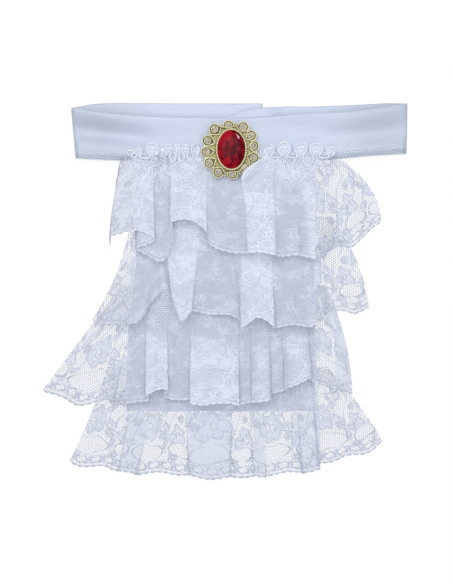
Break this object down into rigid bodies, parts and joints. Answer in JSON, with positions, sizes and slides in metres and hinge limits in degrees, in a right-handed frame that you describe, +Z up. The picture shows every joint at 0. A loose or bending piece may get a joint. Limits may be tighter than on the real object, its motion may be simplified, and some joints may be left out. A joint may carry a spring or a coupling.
{
  "type": "jabot",
  "caption": "White jabot laid flat: a satin neckband, stacked gathered tiers of scalloped floral lace on a panel, and an oval red stone brooch at the throat.",
  "frame": {"origin": "centre of the footprint, on the surface that the jabot lies on", "axes": "+Z up from that surface to the side that shows, +Y along the length towards the neckband, +X to the right as seen from +Z"},
  "size_m": [0.2346, 0.242, 0.0197],
  "materials": {
    "satin": "smooth white satin",
    "lining": "plain opaque white cloth",
    "lace": "white floral lace on hexagonal net",
    "gold": "antique gold plate",
    "ruby": "faceted red glass, foil back",
    "rhinestone": "faceted clear glass, foil back"
  },
  "bodies": {
    "root": {"neckband": "satin", "base_panel": "lining", "lace_tier_1": "lace", "lace_tier_2": "lace", "lace_tier_3": "lace", "lace_tier_4": "lace", "heading_frill": "lace", "brooch_setting": "gold", "brooch_bezel": "gold", "brooch_stone": "ruby", "rhinestone_01": "rhinestone", "rhinestone_02": "rhinestone", "rhinestone_03": "rhinestone", "rhinestone_04": "rhinestone", "rhinestone_05": "rhinestone", "rhinestone_06": "rhinestone", "rhinestone_07": "rhinestone", "rhinestone_08": "rhinestone", "rhinestone_09": "rhinestone", "rhinestone_10": "rhinestone", "rhinestone_11": "rhinestone", "rhinestone_12": "rhinestone"}
  },
  "joints": []
}
